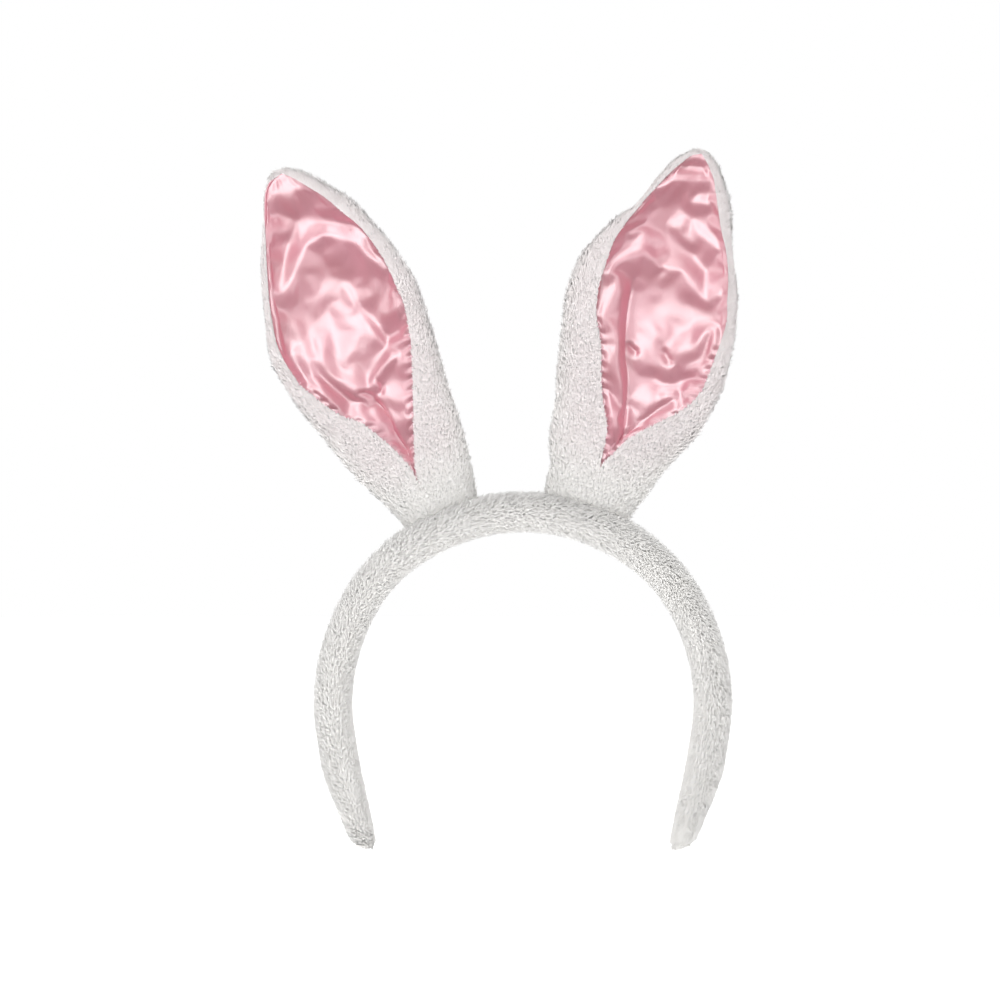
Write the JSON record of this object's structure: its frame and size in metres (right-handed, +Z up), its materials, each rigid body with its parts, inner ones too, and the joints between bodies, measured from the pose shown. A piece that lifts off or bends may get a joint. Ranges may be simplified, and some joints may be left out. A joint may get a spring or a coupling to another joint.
{
  "type": "animal ears headband",
  "caption": "Plush-covered sprung headband with a pair of wired upright rabbit ears lined in pink satin.",
  "frame": {"origin": "centre of the arch's inner face, midway between the band's front and back edges (the head_clamp mount)", "axes": "+Z up from the head towards the ears; -Y is the front, where the satin faces; +X is to the right as seen from the front"},
  "size_m": [0.1848, 0.025, 0.266],
  "materials": {
    "plush": "white short-pile plush, soft and matte",
    "satin": "pale pink polyester satin with a strong soft sheen",
    "white_thread": "white spun polyester sewing thread",
    "pink_thread": "pink spun polyester sewing thread",
    "core": "ivory injection-moulded springy plastic",
    "wire": "soft galvanised craft wire",
    "tape": "cream woven cloth tape",
    "wadding": "thin white polyester wadding"
  },
  "bodies": {
    "crown": {"crown_core": "core", "crown_plush_sleeve": "plush", "crown_seam_thread": "white_thread", "left_ear_wire_ends": "wire", "left_ear_wire_tape": "tape", "left_ear_base_stitches": "white_thread", "right_ear_wire_ends": "wire", "right_ear_wire_tape": "tape", "right_ear_base_stitches": "white_thread"},
    "left_arm": {"left_arm_core": "core", "left_arm_plush_sleeve": "plush", "left_arm_seam_thread": "white_thread", "left_tip_stitches": "white_thread"},
    "left_ear": {"left_ear_plush_lower": "plush", "left_ear_plush_bend": "plush", "left_ear_satin_lower": "satin", "left_ear_wadding_lower": "wadding", "left_ear_wire_lower": "wire", "left_ear_seam_lower": "pink_thread"},
    "left_ear_tip": {"left_ear_plush_upper": "plush", "left_ear_satin_upper": "satin", "left_ear_wadding_upper": "wadding", "left_ear_wire_upper": "wire", "left_ear_seam_upper": "pink_thread"},
    "right_arm": {"right_arm_core": "core", "right_arm_plush_sleeve": "plush", "right_arm_seam_thread": "white_thread", "right_tip_stitches": "white_thread"},
    "right_ear": {"right_ear_plush_lower": "plush", "right_ear_plush_bend": "plush", "right_ear_satin_lower": "satin", "right_ear_wadding_lower": "wadding", "right_ear_wire_lower": "wire", "right_ear_seam_lower": "pink_thread"},
    "right_ear_tip": {"right_ear_plush_upper": "plush", "right_ear_satin_upper": "satin", "right_ear_wadding_upper": "wadding", "right_ear_wire_upper": "wire", "right_ear_seam_upper": "pink_thread"}
  },
  "joints": [
    {"name": "left_arm_flex", "type": "hinge", "parent": "crown", "child": "left_arm", "pos_m": [-0.06657, 0, 0.0416], "axis": [0, 1, 0], "range_deg": [0, 12], "stiffness_Nm_per_rad": 1.2},
    {"name": "left_ear_tilt", "type": "hinge", "parent": "crown", "child": "left_ear", "pos_m": [-0.03419, 0, 0.07233], "axis": [0.9128, 0, 0.4083], "range_deg": [-25, 30]},
    {"name": "left_ear_bend", "type": "hinge", "parent": "left_ear", "child": "left_ear_tip", "pos_m": [-0.06359, -0.00453, 0.13805], "axis": [0.9128, 0, 0.4083], "range_deg": [-30, 70], "deforming": ["left_ear_plush_bend", "left_ear_satin_lower", "left_ear_satin_upper", "left_ear_wadding_lower", "left_ear_wadding_upper"]},
    {"name": "right_arm_flex", "type": "hinge", "parent": "crown", "child": "right_arm", "pos_m": [0.06657, 0, 0.0416], "axis": [0, -1, 0], "range_deg": [0, 12], "stiffness_Nm_per_rad": 1.2},
    {"name": "right_ear_tilt", "type": "hinge", "parent": "crown", "child": "right_ear", "pos_m": [0.02762, 0, 0.07508], "axis": [0.9578, 0, -0.2874], "range_deg": [-25, 30]},
    {"name": "right_ear_bend", "type": "hinge", "parent": "right_ear", "child": "right_ear_tip", "pos_m": [0.04831, -0.00453, 0.14404], "axis": [0.9578, 0, -0.2874], "range_deg": [-30, 70], "deforming": ["right_ear_plush_bend", "right_ear_satin_lower", "right_ear_satin_upper", "right_ear_wadding_lower", "right_ear_wadding_upper"]}
  ]
}
